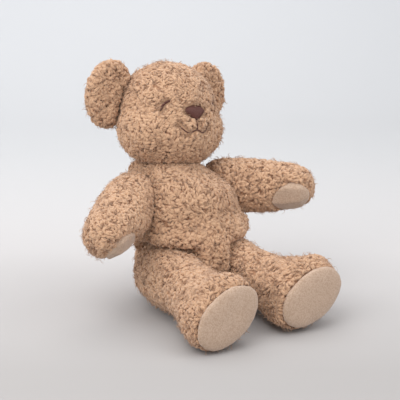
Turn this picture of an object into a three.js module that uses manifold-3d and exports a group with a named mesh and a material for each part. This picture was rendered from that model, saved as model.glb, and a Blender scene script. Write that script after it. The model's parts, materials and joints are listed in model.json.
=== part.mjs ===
// A jointed plush teddy bear, sitting on the floor z = 0, in millimetres.
// +Z is up and the bear faces -Y, so its own left side is at +X.
//
// The covers are plush panels, each a shell whose outside is the middle of the curly pile and whose
// inside is the backing. A form function builds the whole bag of one body part, drawn in by an inset:
// inset 0 is the outside, inset COVER is the backing, and inset COVER + FIT is the stuffing. Five
// plastic disc joints hold the head, arms and legs to the torso.
import * as THREE from "three";
import { mergeVertices } from "three/addons/utils/BufferGeometryUtils.js";
import Module from "manifold-3d";

const wasm = await Module();
wasm.setup();
const { Manifold, Mesh: SolidMesh } = wasm;

// ---- Driving dimensions ----

const COVER = 6; // plush: backing and pile together
const FIT = 0.3; // gap between pieces that lie against each other
const CONTACT_GAP = 0.6; // between the faces that turn on each other at a joint
const OUTSIDE = { sides: 12, rings: 8, bagRings: 10 }; // facets around and along a rounded form
const INSIDE = { sides: 9, rings: 6, bagRings: 8 }; // the same for its hidden inner surfaces
const PAD_SIDES = 20; // facets around a pad
const DISC_SIDES = 14; // facets around a disc
const STEM_SIDES = 12; // facets around a hole for a stem
const FAR = 400; // reach of the blocks that only cut

// Torso: belly, chest and seat are rounded masses along a spine that leans back.
const SPINE_LEAN = THREE.MathUtils.degToRad(16);
const BELLY_RADII = [68, 57, 58];
const BELLY_HEIGHT = 59; // of its centre above the floor
const BELLY_Y = -20;
const BELLY_SAG = 4; // the belly settles this far towards the bear's left
const CHEST_RADII = [59, 54, 55];
const CHEST_RISE = 43; // along the spine from the belly's centre
const SEAT_RADII = [47, 38, 46];
const SEAT_SINK = 6; // how far the seat's own round is pressed flat by the floor
const SEAT_Y = 8;
const SIDE_SEAM_BACK = 14; // side seams lie this far behind the spine

// Neck: the head turns on a face across the top of the chest, flat in the middle and sloping outside.
const NECK_RISE = 50; // along the spine from the chest's centre
const NECK_FLAT = 24; // radius of the flat middle of the faces that meet at the neck
const NECK_FALL = 0.5; // how steeply those faces slope down around it
const NAPE_RADII = [49, 44, 37]; // of the round that carries the neck's disc, on top of the chest
const NAPE_DROP = 22; // of its centre below the neck's
const NECK_SHIFT = [-4, 3.5, 0]; // of the neck's centre from the spine
const HEAD_TILT = THREE.MathUtils.degToRad(7); // towards the bear's left
const HEAD_YAW = THREE.MathUtils.degToRad(6);

// Head, in its own frame: origin at the neck's centre, facing -Y.
const HEAD_RISE = 48; // from the neck face to the centre of the skull
const HEAD_BACK = 15; // the skull's centre behind the neck's
const SKULL_RADII = [55, 51, 51];
const CHEEK_RADII = [36, 38, 33];
const CHEEK_APART = 25; // each cheek's centre from the middle
const CHEEK_AT = [-9, -19]; // forward and down from the skull's centre
const JAW_RADII = [54, 47, 36];
const JAW_AT = [-9, -24]; // measured the same way, like the muzzle's
const MUZZLE_RADII = [28, 22, 23];
const MUZZLE_AT = [-35, -14];
const GUSSET_WIDTH = 34;
const GUSSET_DROP = 12; // how far the gusset comes down below the skull's centre

// Ears
const EAR_RADII = [30, 15, 37];
const EAR_OUT = 61; // from the head's middle
const EAR_AT = [18, 13]; // back and up from the skull's centre

// Face, stitched in thread that stands proud of the pile's backing
const THREAD_PROUD = 1.8;
const NOSE_WIDTH = 24;
const NOSE_HEIGHT = 14;
const NOSE_RISE = 4; // of its centre above the skull's centre
const STROKE = 1.8; // width of a stitched line
const MOUTH_STEM = 9;
const SMILE_WIDTH = 44;
const SMILE_DIP = 3.5;
const SMILE_LIFT = 3.5; // of the mouth's corners above the foot of its stem
const EYE_APART = 26; // each eye from the middle
const EYE_RISE = 14; // above the skull's centre
const EYE_WIDTH = 17;
const EYE_ARCH = 10;

// Shoulders and arms
const SHOULDER_TILT = THREE.MathUtils.degToRad(20); // the face looks up by this much
const SHOULDER_OUT = 48; // of the face from the chest's centre, along its own direction
const SHOULDER_SHIFT = [0, 9, -6.5]; // of the joint from where the chest's centre meets the face
const SHOULDER_INSET = 9; // from the face to the arm's centre line
const ARM_RADIUS = 30;
const HAND_RADIUS = 26.5;
const ARM_REACH = 98; // from the shoulder to the tip
// Directions of the arms: out from straight ahead, and up from level
const ARM_SPREAD = { right: THREE.MathUtils.degToRad(50.5), left: THREE.MathUtils.degToRad(47.5) };
const ARM_RISE = { right: THREE.MathUtils.degToRad(-14.5), left: THREE.MathUtils.degToRad(0.5) };
const ARM_SEAM_OUT = 5; // the arm's seam lies this far outside its centre line
const PAW_LONG = 19; // half length and half width of the oval paw pad
const PAW_WIDE = 17;
const PAW_FROM_TIP = 20; // from the backing's tip to the pad's middle
const PAD_SUNK = 1.5; // the smooth pad lies below the pile

// Hips and legs
const HIP_FACE = 17; // from the middle to the face that the leg turns on
const HIP_Y = -20;
const THIGH_RADIUS = 36;
const CALF_RADIUS = 28;
const HIP_LEVEL = 37; // of the hip's centre above the floor
const THIGH_OUT = 11; // of the leg's centre line from the hip's face
const LEG_REACH = 140; // from the hip to the sole
const LEG_SPLAY = { right: THREE.MathUtils.degToRad(7.4), left: THREE.MathUtils.degToRad(10.4) };
// How far the line from hip to sole rises above level
const LEG_RISE = { right: THREE.MathUtils.degToRad(-1.2), left: THREE.MathUtils.degToRad(-0.8) };
const SOLE_LONG = 37.5; // half length and half width of the oval sole
const SOLE_WIDE = 26;
const SOLE_ROLL = { right: THREE.MathUtils.degToRad(33.5), left: THREE.MathUtils.degToRad(26.6) };
const SOLE_RIM = 3.5; // of pile around the sole pad
const TOE_RADII = [31, 15, 24]; // of the toes' round on top of the foot
const TOE_AT = [8, 17, 12]; // towards the oval's end, back from the sole and up
const OVAL_FROM = 0.35; // shares of the leg's reach between which its section turns oval
const OVAL_BY = 0.92;
const PAD_THICK = 3;
const PAD_CROWN = 4;
const SWEEP_GAP = 1.2; // between a turning limb and the torso around it
const LEG_LIFT = THREE.MathUtils.degToRad(2.5); // room for the leg to rise under the belly

// Disc joints
const DISC_THICK = 2.5;
const STEM_RADIUS = 4;
const STEM_GAP = 0.6; // around the stem and its ring, where the covers turn on them
const RING_THICK = 4;
const RING_RADIUS = 9;
const STEM_TIP = 1.5; // of stem left past the lock ring
const RIM = 1; // how far a disc's rim is taken in on its faces
const RING_BEVEL = 2;
const NECK_DISC = 14.5;
const SHOULDER_DISC = 13;
const HIP_DISC = 20;

// ---- Materials ----

const plush = new THREE.MeshStandardMaterial({ color: 0xc09470, roughness: 0.95, metalness: 0 });
const padCloth = new THREE.MeshStandardMaterial({ color: 0xc8ad90, roughness: 0.9, metalness: 0 });
const thread = new THREE.MeshStandardMaterial({ color: 0x4b2d2a, roughness: 0.6, metalness: 0 });
const fibre = new THREE.MeshStandardMaterial({ color: 0xe8e6e0, roughness: 1, metalness: 0 });
const plastic = new THREE.MeshStandardMaterial({ color: 0xd9d9d4, roughness: 0.5, metalness: 0 });

// ---- Vectors ----

const X = new THREE.Vector3(1, 0, 0);
const Y = new THREE.Vector3(0, 1, 0);
const Z = new THREE.Vector3(0, 0, 1);
const vec = (x, y, z) => new THREE.Vector3(x, y, z);
const along = (start, direction, distance) => start.clone().addScaledVector(direction, distance);
const SIGN = { right: -1, left: 1 };

// ---- Solids ----

function solidOf(geometry) {
  const bare = geometry.clone();
  bare.deleteAttribute("normal");
  bare.deleteAttribute("uv");
  const merged = mergeVertices(bare, 1e-4);
  return new Manifold(
    new SolidMesh({
      numProp: 3,
      vertProperties: new Float32Array(merged.attributes.position.array),
      triVerts: new Uint32Array(merged.index.array),
    }),
  );
}

// An ellipsoid drawn in by inset.
function ball(centre, radii, inset = 0, turn = new THREE.Quaternion()) {
  const facets = inset > 0 ? INSIDE : OUTSIDE;
  const geometry = new THREE.SphereGeometry(1, facets.sides, facets.rings);
  geometry.rotateX(Math.PI / 2);
  geometry.scale(...radii.map((radius) => radius - inset));
  geometry.applyQuaternion(turn);
  geometry.translate(centre.x, centre.y, centre.z);
  return solidOf(geometry);
}

// Everything on the far side of a plane, as a block to cut with.
function beyond(point, normal) {
  const geometry = new THREE.BoxGeometry(FAR, FAR, FAR);
  geometry.translate(0, 0, FAR / 2);
  geometry.applyQuaternion(new THREE.Quaternion().setFromUnitVectors(Z, normal));
  geometry.translate(point.x, point.y, point.z);
  return solidOf(geometry);
}

// A round bar from one distance to another along an axis through a point.
function rod(point, axis, radius, from, to, sides = DISC_SIDES) {
  const geometry = new THREE.CylinderGeometry(radius, radius, to - from, sides);
  geometry.translate(0, (from + to) / 2, 0);
  geometry.applyQuaternion(new THREE.Quaternion().setFromUnitVectors(Y, axis));
  geometry.translate(point.x, point.y, point.z);
  return solidOf(geometry);
}

// A turned piece: profile points are [radius, distance along the axis], from the far end to the near.
function turned(point, axis, profile, sides = DISC_SIDES) {
  const geometry = new THREE.LatheGeometry(profile.map(([r, t]) => new THREE.Vector2(r, t)), sides);
  geometry.applyQuaternion(new THREE.Quaternion().setFromUnitVectors(Y, axis));
  geometry.translate(point.x, point.y, point.z);
  return solidOf(geometry);
}

const join = (solids) => solids.reduce((whole, solid) => whole.add(solid));
const cut = (solid, ...cutters) => cutters.reduce((left, cutter) => left.subtract(cutter), solid);

// ---- Frames of the body parts ----

const spine = vec(0, Math.sin(SPINE_LEAN), Math.cos(SPINE_LEAN));
const spineTurn = new THREE.Quaternion().setFromUnitVectors(Z, spine);
const belly = vec(BELLY_SAG, BELLY_Y, BELLY_HEIGHT);
const waist = vec(0, BELLY_Y, BELLY_HEIGHT);
const chest = along(waist, spine, CHEST_RISE);
const seat = vec(0, SEAT_Y, SEAT_RADII[2] - SEAT_SINK);

const neckTurn = new THREE.Quaternion()
  .setFromAxisAngle(Z, HEAD_YAW)
  .multiply(new THREE.Quaternion().setFromAxisAngle(Y, HEAD_TILT));
const neck = {
  centre: along(chest, spine, NECK_RISE).add(vec(...NECK_SHIFT)),
  axis: Z.clone().applyQuaternion(neckTurn),
};

function shoulderFrame(side) {
  const sign = SIGN[side];
  const axis = vec(sign * Math.cos(SHOULDER_TILT), 0, Math.sin(SHOULDER_TILT));
  const reach = along(chest, axis, SHOULDER_OUT).add(vec(0, ...SHOULDER_SHIFT.slice(1)));
  const offFace = reach.clone().sub(chest).dot(axis) - SHOULDER_OUT;
  const centre = along(reach, axis, -offFace);
  const direction = vec(sign * Math.sin(ARM_SPREAD[side]), -Math.cos(ARM_SPREAD[side]), 0);
  direction.multiplyScalar(Math.cos(ARM_RISE[side])).addScaledVector(Z, Math.sin(ARM_RISE[side]));
  const palm = axis.clone().negate();
  palm.addScaledVector(direction, -palm.dot(direction)).normalize();
  return { centre, axis, direction, palm, root: along(centre, axis, SHOULDER_INSET) };
}

function hipFrame(side) {
  const sign = SIGN[side];
  const centre = vec(sign * HIP_FACE, HIP_Y, HIP_LEVEL);
  const axis = vec(sign, 0, 0);
  const direction = vec(sign * Math.sin(LEG_SPLAY[side]), -Math.cos(LEG_SPLAY[side]), 0);
  direction.multiplyScalar(Math.cos(LEG_RISE[side])).addScaledVector(Z, Math.sin(LEG_RISE[side]));
  const root = along(centre, axis, THIGH_OUT);
  const sole = along(root, direction, LEG_REACH);
  const long = vec(Math.cos(SOLE_ROLL[side]), 0, Math.sin(SOLE_ROLL[side]));
  return { centre, axis, direction, root, sole, long };
}

const shoulders = { right: shoulderFrame("right"), left: shoulderFrame("left") };
const hips = { right: hipFrame("right"), left: hipFrame("left") };

// ---- Rounded bags along a line ----

// A smooth curve through [radius, distance] points, moved in by inset along its own normals.
function insetProfile(points, inset, steps) {
  const curve = new THREE.SplineCurve(points.map(([r, t]) => new THREE.Vector2(r, t)));
  const drawn = [];
  for (let i = 0; i <= steps; i++) {
    const point = curve.getPoint(i / steps);
    const tangent = curve.getTangent(i / steps);
    const end = i === 0 || i === steps;
    const normal = end ? new THREE.Vector2(0, i === 0 ? -1 : 1) : new THREE.Vector2(tangent.y, -tangent.x);
    point.addScaledVector(normal, -inset);
    drawn.push(new THREE.Vector2(end ? 0 : Math.max(point.x, 0.5), point.y));
  }
  return drawn;
}

// A bag turned from a profile about the line from root in direction; shape moves each point last.
function bag(root, direction, points, inset, shape) {
  const facets = inset > 0 ? INSIDE : OUTSIDE;
  const profile = insetProfile(points, inset, facets.bagRings);
  const geometry = new THREE.LatheGeometry(profile, facets.sides);
  if (shape) shape(geometry, inset);
  geometry.applyQuaternion(new THREE.Quaternion().setFromUnitVectors(Y, direction));
  geometry.translate(root.x, root.y, root.z);
  return solidOf(geometry);
}

// ---- Torso ----

// The room that the thigh takes in the torso, from resting forward to hanging straight down.
function hipPocket(side, inset) {
  const { centre, axis } = hips[side];
  const radius = THIGH_RADIUS + SWEEP_GAP + inset;
  const face = along(centre, axis, -inset);
  const outside = beyond(face, axis);
  const round = rod(centre, axis, radius, -inset, FAR / 2);
  const forwardTilt = new THREE.Quaternion().setFromAxisAngle(X, -LEG_LIFT);
  const top = along(centre, Z.clone().applyQuaternion(forwardTilt), radius);
  const forward = beyond(top, Z.clone().applyQuaternion(forwardTilt).negate());
  const ahead = beyond(centre, vec(0, -1, 0));
  const below = beyond(centre, vec(0, 0, -1));
  const hanging = beyond(vec(0, HIP_Y + radius, 0), vec(0, -1, 0));
  const swept = ahead.intersect(forward).add(below.intersect(hanging));
  return round.add(swept.intersect(outside));
}

// The room that an arm takes as it turns: a cone around the shoulder's axis that its side sweeps.
function armPocket(side, inset) {
  const { centre, axis, direction } = shoulders[side];
  const slant = direction.angleTo(axis);
  const lowest = (ARM_RADIUS * Math.sin(slant) - SHOULDER_INSET) / Math.cos(slant);
  const radius = lowest * Math.sin(slant) + ARM_RADIUS * Math.cos(slant) + SWEEP_GAP + inset;
  const depth = CONTACT_GAP / 2 + inset;
  const height = ARM_REACH / 2;
  const profile = [
    [0, -depth],
    [radius, -depth],
    [radius + (depth + height) * Math.tan(slant), height],
    [0, height],
  ];
  return turned(centre, axis, profile);
}

// Everything above the face that the head turns on, or everything below it.
function neckBlock(rise, upwards) {
  const far = FAR / 2;
  const edge = [far, rise - NECK_FALL * (far - NECK_FLAT)];
  const face = [[0, rise], [NECK_FLAT, rise], edge];
  const profile = upwards ? [...face, [far, far], [0, far]] : [[0, -far], [far, -far], ...face.reverse()];
  return turned(neck.centre, neck.axis, profile);
}

function torsoForm(inset) {
  const masses = join([
    ball(belly, BELLY_RADII, inset, spineTurn),
    ball(chest, CHEST_RADII, inset, spineTurn),
    ball(along(neck.centre, neck.axis, -NAPE_DROP), NAPE_RADII, inset, neckTurn),
    ball(seat, SEAT_RADII, inset),
  ]);
  return cut(
    masses,
    beyond(vec(0, 0, inset), vec(0, 0, -1)),
    neckBlock(-CONTACT_GAP / 2 - inset, true),
    armPocket("right", inset),
    armPocket("left", inset),
    hipPocket("right", inset + CONTACT_GAP / 2),
    hipPocket("left", inset + CONTACT_GAP / 2),
  );
}

// ---- Head ----

function inHead(x, y, z) {
  return vec(x, y + HEAD_BACK, z + HEAD_RISE).applyQuaternion(neckTurn).add(neck.centre);
}

function headForm(inset) {
  const masses = join([
    ball(inHead(0, 0, 0), SKULL_RADII, inset, neckTurn),
    ball(inHead(CHEEK_APART, ...CHEEK_AT), CHEEK_RADII, inset, neckTurn),
    ball(inHead(-CHEEK_APART, ...CHEEK_AT), CHEEK_RADII, inset, neckTurn),
    ball(inHead(0, ...JAW_AT), JAW_RADII, inset, neckTurn),
    ball(inHead(0, ...MUZZLE_AT), MUZZLE_RADII, inset, neckTurn),
  ]);
  return cut(masses, neckBlock(CONTACT_GAP / 2 + inset, false));
}

// The gusset: a strip over the crown, from above the mouth to the nape.
function gussetStrip(grow) {
  const geometry = new THREE.BoxGeometry(GUSSET_WIDTH + 2 * grow, FAR, FAR);
  geometry.translate(0, 0, FAR / 2 - GUSSET_DROP - grow);
  geometry.translate(0, HEAD_BACK, HEAD_RISE);
  geometry.applyQuaternion(neckTurn);
  geometry.translate(neck.centre.x, neck.centre.y, neck.centre.z);
  return solidOf(geometry);
}

function earForm(side, inset) {
  return ball(inHead(SIGN[side] * EAR_OUT, ...EAR_AT), EAR_RADII, inset, neckTurn);
}

// ---- Face ----

// A flat outline in the head's own x and z, pushed back through the front of the head.
function faceCutter(shape) {
  const geometry = new THREE.ExtrudeGeometry(shape, { depth: FAR / 4, bevelEnabled: false });
  geometry.rotateX(Math.PI / 2);
  geometry.translate(0, HEAD_BACK - SKULL_RADII[1] / 3, HEAD_RISE);
  geometry.applyQuaternion(neckTurn);
  geometry.translate(neck.centre.x, neck.centre.y, neck.centre.z);
  return solidOf(geometry);
}

// A line of even width along a curve, with square ends.
function strokeShape(curve, width, steps = 6) {
  const edge = (side) =>
    Array.from({ length: steps + 1 }, (_, i) => {
      const point = curve.getPoint(i / steps);
      const tangent = curve.getTangent(i / steps);
      const out = (side * width) / 2;
      return new THREE.Vector2(point.x - tangent.y * out, point.y + tangent.x * out);
    });
  return new THREE.Shape([...edge(-1), ...edge(1).reverse()]);
}

function noseShape() {
  const half = NOSE_WIDTH / 2;
  const top = NOSE_HEIGHT / 2;
  const shape = new THREE.Shape();
  shape.moveTo(0, -top);
  shape.bezierCurveTo(-half * 0.35, -top, -half * 1.15, top * 0.1, -half, top * 0.6);
  shape.bezierCurveTo(-half * 0.85, top * 1.1, half * 0.85, top * 1.1, half, top * 0.6);
  shape.bezierCurveTo(half * 1.15, top * 0.1, half * 0.35, -top, 0, -top);
  const points = shape.getPoints(4).map((point) => new THREE.Vector2(point.x, point.y + NOSE_RISE));
  return new THREE.Shape(points.slice(0, -1));
}

function mouthSolid() {
  const top = NOSE_RISE - NOSE_HEIGHT / 2 - FIT;
  const fork = top - MOUTH_STEM;
  const stem = new THREE.LineCurve(new THREE.Vector2(0, top), new THREE.Vector2(0, fork));
  const half = SMILE_WIDTH / 2;
  const smile = new THREE.SplineCurve([
    new THREE.Vector2(-half, fork + SMILE_LIFT),
    new THREE.Vector2(-half / 2, fork - SMILE_DIP),
    new THREE.Vector2(0, fork),
    new THREE.Vector2(half / 2, fork - SMILE_DIP),
    new THREE.Vector2(half, fork + SMILE_LIFT),
  ]);
  return faceCutter(strokeShape(stem, STROKE, 3)).add(faceCutter(strokeShape(smile, STROKE, 12)));
}

function eyeSolid(side) {
  const centre = SIGN[side] * EYE_APART;
  const lid = new THREE.SplineCurve([
    new THREE.Vector2(centre - EYE_WIDTH / 2, EYE_RISE - EYE_ARCH),
    new THREE.Vector2(centre, EYE_RISE),
    new THREE.Vector2(centre + EYE_WIDTH / 2, EYE_RISE - EYE_ARCH),
  ]);
  return faceCutter(strokeShape(lid, STROKE));
}

// ---- Arms ----

function armForm(side, inset) {
  const { centre, axis, direction, root } = shoulders[side];
  // Each point is a radius and a distance along the arm from the shoulder.
  const profile = [
    [0, -ARM_RADIUS],
    [ARM_RADIUS * 0.7, -ARM_RADIUS * 0.72],
    [ARM_RADIUS * 0.97, -ARM_RADIUS * 0.1],
    [ARM_RADIUS, ARM_REACH * 0.28],
    [HAND_RADIUS * 1.03, ARM_REACH * 0.6],
    [HAND_RADIUS * 0.93, ARM_REACH - HAND_RADIUS * 0.72],
    [HAND_RADIUS * 0.6, ARM_REACH - HAND_RADIUS * 0.2],
    [0, ARM_REACH],
  ];
  const limb = bag(root, direction, profile, inset);
  return cut(limb, beyond(along(centre, axis, CONTACT_GAP / 2 + inset), axis.clone().negate()));
}

// The oval that the paw pad is let into, on the palm side of the hand.
function pawOval(side, grow) {
  const { direction, palm, root } = shoulders[side];
  const geometry = new THREE.CylinderGeometry(1, 1, FAR / 4, PAD_SIDES);
  geometry.translate(0, FAR / 8, 0);
  geometry.scale(PAW_WIDE + grow, 1, PAW_LONG + grow);
  const across = new THREE.Vector3().crossVectors(palm, direction);
  geometry.applyMatrix4(new THREE.Matrix4().makeBasis(across, palm, direction));
  const at = along(root, direction, ARM_REACH - COVER - PAW_FROM_TIP);
  geometry.translate(at.x, at.y, at.z);
  return solidOf(geometry);
}

// ---- Legs ----

function legForm(side, inset) {
  const { centre, axis, direction, root, sole, long } = hips[side];
  const foot = SOLE_WIDE + SOLE_RIM;
  // Each point is a radius and a distance along the leg from the hip.
  const profile = [
    [0, -THIGH_RADIUS],
    [THIGH_RADIUS * 0.7, -THIGH_RADIUS * 0.72],
    [THIGH_RADIUS, 0],
    [(THIGH_RADIUS + CALF_RADIUS) / 2, LEG_REACH * 0.32],
    [CALF_RADIUS, LEG_REACH * 0.6],
    [foot * 1.1, LEG_REACH * 0.86],
    [foot * 0.97, LEG_REACH + 2],
    [foot * 0.5, LEG_REACH + 16],
    [0, LEG_REACH + 18],
  ];
  // Towards the foot the section becomes an oval, long across the toes.
  const widen = (geometry) => {
    const back = new THREE.Quaternion().setFromUnitVectors(Y, direction).invert();
    const grain = long.clone().applyQuaternion(back);
    grain.y = 0;
    grain.normalize();
    const position = geometry.attributes.position;
    const point = new THREE.Vector3();
    for (let i = 0; i < position.count; i++) {
      point.fromBufferAttribute(position, i);
      const amount = THREE.MathUtils.smoothstep(point.y, LEG_REACH * OVAL_FROM, LEG_REACH * OVAL_BY);
      const side = point.x * grain.x + point.z * grain.z;
      const radius = Math.hypot(point.x, point.z);
      const share = side / Math.max(radius, foot - inset);
      const extra = amount * (SOLE_LONG - SOLE_WIDE) * share;
      position.setXYZ(i, point.x + grain.x * extra, point.y, point.z + grain.z * extra);
    }
  };
  const limb = bag(root, direction, profile, inset, widen);
  const [end, back, up] = TOE_AT;
  const toes = ball(along(along(along(sole, long, end), Y, back), Z, up), TOE_RADII, inset);
  return cut(
    join([limb, toes]),
    beyond(along(centre, axis, CONTACT_GAP / 2 + inset), axis.clone().negate()),
    beyond(vec(0, 0, inset), vec(0, 0, -1)),
    beyond(along(sole, Y, inset), vec(0, -1, 0)),
  );
}

// The oval sole pad, crowned outwards. With grow it is the socket for it in the cover.
function solePad(side, grow) {
  const { sole, long } = hips[side];
  const profile = [
    [0, -PAD_CROWN],
    [0.4, -PAD_CROWN * 0.95],
    [0.7, -PAD_CROWN * 0.75],
    [0.9, -PAD_CROWN * 0.42],
    [1, 0],
    [1, PAD_THICK + grow],
    [0, PAD_THICK + grow],
  ];
  const geometry = new THREE.LatheGeometry(profile.map(([r, t]) => new THREE.Vector2(r, t)), PAD_SIDES);
  geometry.scale(SOLE_LONG + grow, 1, SOLE_WIDE + grow);
  const across = new THREE.Vector3().crossVectors(long, Y);
  geometry.applyMatrix4(new THREE.Matrix4().makeBasis(long, Y, across));
  geometry.translate(sole.x, sole.y, sole.z);
  return solidOf(geometry);
}

// ---- Disc joints ----

// Distances along a joint's axis, outwards from the face into the limb and inwards into the torso.
const COVER_BACK = CONTACT_GAP / 2 + COVER + FIT;
const RING_START = COVER_BACK + DISC_THICK + FIT;
const STEM_END = RING_START + RING_THICK + STEM_TIP;

function stemHole({ centre, axis }) {
  return rod(centre, axis, STEM_RADIUS + STEM_GAP, -COVER_BACK, COVER_BACK, STEM_SIDES);
}

function discRecess({ centre, axis }, discRadius) {
  return rod(centre, axis, discRadius + STEM_GAP, -FIT, COVER_BACK + DISC_THICK + FIT);
}

function washerRecess({ centre, axis }, discRadius) {
  const inwards = axis.clone().negate();
  const washer = rod(centre, inwards, discRadius + STEM_GAP, -FIT, RING_START);
  return washer.add(rod(centre, inwards, RING_RADIUS + STEM_GAP, 0, STEM_END + FIT));
}

// The room in a torso's cover for a washer, which leaves the wall that the washer bears on.
function washerRoom({ centre, axis }, discRadius) {
  const wall = COVER_BACK - FIT / 2;
  return rod(centre, axis.clone().negate(), discRadius + STEM_GAP, wall, RING_START);
}

function stemDisc({ centre, axis }, discRadius) {
  const flange = COVER_BACK + DISC_THICK;
  const profile = [
    [0, -STEM_END],
    [STEM_RADIUS * 0.7, -STEM_END],
    [STEM_RADIUS, -STEM_END + STEM_TIP],
    [STEM_RADIUS, COVER_BACK],
    [discRadius - RIM, COVER_BACK],
    [discRadius, COVER_BACK + DISC_THICK / 2],
    [discRadius - RIM, flange],
    [0, flange],
  ];
  return turned(centre, axis, profile);
}

function washerDisc({ centre, axis }, discRadius) {
  const bore = STEM_RADIUS + STEM_GAP;
  const profile = [
    [bore, -COVER_BACK - DISC_THICK],
    [discRadius - RIM, -COVER_BACK - DISC_THICK],
    [discRadius, -COVER_BACK - DISC_THICK / 2],
    [discRadius - RIM, -COVER_BACK],
    [bore, -COVER_BACK],
    [bore, -COVER_BACK - DISC_THICK],
  ];
  return turned(centre, axis, profile);
}

function lockRing({ centre, axis }) {
  const bore = STEM_RADIUS + FIT;
  const profile = [
    [bore, -RING_START - RING_THICK],
    [RING_RADIUS - RING_BEVEL, -RING_START - RING_THICK],
    [RING_RADIUS, -RING_START - RING_THICK + RING_BEVEL],
    [RING_RADIUS, -RING_START],
    [bore, -RING_START],
    [bore, -RING_START - RING_THICK],
  ];
  return turned(centre, axis, profile);
}

// ---- The bear ----

const bear = new THREE.Group();

function addPiece(name, solid, material) {
  const { vertProperties, triVerts } = solid.getMesh();
  const geometry = new THREE.BufferGeometry();
  geometry.setAttribute("position", new THREE.BufferAttribute(new Float32Array(vertProperties), 3));
  geometry.setIndex(new THREE.BufferAttribute(new Uint32Array(triVerts), 1));
  geometry.computeVertexNormals();
  const mesh = new THREE.Mesh(geometry, material);
  mesh.name = name;
  bear.add(mesh);
}

// Both sides of a seam, with half the fit left out on each.
function splitAt(solid, point, normal) {
  const back = normal.clone().negate();
  return {
    front: solid.intersect(beyond(along(point, normal, FIT / 2), normal)),
    back: solid.intersect(beyond(along(point, back, FIT / 2), back)),
  };
}

function addTorso() {
  const discs = [
    [neck, NECK_DISC],
    ...Object.values(shoulders).map((joint) => [joint, SHOULDER_DISC]),
    ...Object.values(hips).map((joint) => [joint, HIP_DISC]),
  ];
  const holes = discs.map(([joint]) => stemHole(joint));
  const rooms = discs.map(([joint, radius]) => washerRoom(joint, radius));
  const cover = cut(torsoForm(0), torsoForm(COVER), ...holes, ...rooms);
  const backwards = vec(0, spine.z, -spine.y);
  const sideSeam = splitAt(cover, along(belly, backwards, SIDE_SEAM_BACK), backwards.clone().negate());
  for (const [place, half] of Object.entries({ front: sideSeam.front, back: sideSeam.back })) {
    const middle = splitAt(half, vec(0, 0, 0), X);
    addPiece(`torso_${place}_left`, middle.front, plush);
    addPiece(`torso_${place}_right`, middle.back, plush);
  }
  const recesses = discs.map(([joint, radius]) => washerRecess(joint, radius));
  addPiece("torso_stuffing", cut(torsoForm(COVER + FIT), ...recesses), fibre);
}

function addHead() {
  const cover = cut(headForm(0), headForm(COVER), stemHole(neck));
  addPiece("head_gusset", cover.intersect(gussetStrip(0)), plush);
  const sides = splitAt(cut(cover, gussetStrip(FIT)), neck.centre, X.clone().applyQuaternion(neckTurn));
  addPiece("head_side_left", sides.front, plush);
  addPiece("head_side_right", sides.back, plush);
  addPiece("head_stuffing", cut(headForm(COVER + FIT), discRecess(neck, NECK_DISC)), fibre);
}

function addEar(side) {
  const head = headForm(-FIT);
  const cover = cut(earForm(side, 0), earForm(side, COVER), head);
  const seam = splitAt(cover, inHead(0, ...EAR_AT), Y.clone().negate().applyQuaternion(neckTurn));
  addPiece(`ear_${side}_front`, seam.front, plush);
  addPiece(`ear_${side}_back`, seam.back, plush);
  addPiece(`ear_${side}_stuffing`, cut(earForm(side, COVER + FIT), head), fibre);
}

function addFace() {
  const skin = cut(headForm(-FIT - THREAD_PROUD), headForm(-FIT));
  addPiece("nose", faceCutter(noseShape()).intersect(skin), thread);
  addPiece("mouth", mouthSolid().intersect(skin), thread);
  addPiece("eye_right", eyeSolid("right").intersect(skin), thread);
  addPiece("eye_left", eyeSolid("left").intersect(skin), thread);
}

function addArm(side) {
  const joint = shoulders[side];
  const backing = armForm(side, COVER);
  const cover = cut(armForm(side, 0), backing, stemHole(joint), pawOval(side, FIT));
  const halves = splitAt(cover, along(joint.root, joint.palm, -ARM_SEAM_OUT), joint.palm);
  addPiece(`arm_${side}_inner`, halves.front, plush);
  addPiece(`arm_${side}_outer`, halves.back, plush);
  addPiece(`arm_${side}_paw_pad`, cut(armForm(side, PAD_SUNK), backing).intersect(pawOval(side, 0)), padCloth);
  const stuffing = cut(armForm(side, COVER + FIT), discRecess(joint, SHOULDER_DISC));
  addPiece(`arm_${side}_stuffing`, stuffing, fibre);
}

function addLeg(side) {
  const joint = hips[side];
  const cover = cut(legForm(side, 0), legForm(side, COVER), stemHole(joint), solePad(side, FIT));
  const halves = splitAt(cover, joint.root, joint.axis);
  addPiece(`leg_${side}_outer`, halves.front, plush);
  addPiece(`leg_${side}_inner`, halves.back, plush);
  addPiece(`leg_${side}_sole_pad`, solePad(side, 0), padCloth);
  addPiece(
    `leg_${side}_stuffing`,
    cut(legForm(side, COVER + FIT), discRecess(joint, HIP_DISC), solePad(side, FIT)),
    fibre,
  );
}

function addJoint(name, joint, discRadius) {
  addPiece(`${name}_stem_disc`, stemDisc(joint, discRadius), plastic);
  addPiece(`${name}_washer_disc`, washerDisc(joint, discRadius), plastic);
  addPiece(`${name}_lock_ring`, lockRing(joint), plastic);
}

addTorso();
addHead();
addFace();
addJoint("neck", neck, NECK_DISC);
for (const side of ["right", "left"]) {
  addEar(side);
  addArm(side);
  addLeg(side);
  addJoint(`shoulder_${side}`, shoulders[side], SHOULDER_DISC);
  addJoint(`hip_${side}`, hips[side], HIP_DISC);
}

// The part's origin is on the floor, under the middle of the whole bear.
const middle = new THREE.Box3().setFromObject(bear).getCenter(new THREE.Vector3());
bear.position.set(-middle.x, -middle.y, 0);

export default bear;
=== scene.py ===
"""The looks of a jointed plush teddy bear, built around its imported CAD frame. Lengths are in metres."""

import json
import math

import bmesh
import bpy
import numpy as np
from mathutils import Matrix, Vector
from mathutils.bvhtree import BVHTree


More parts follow.
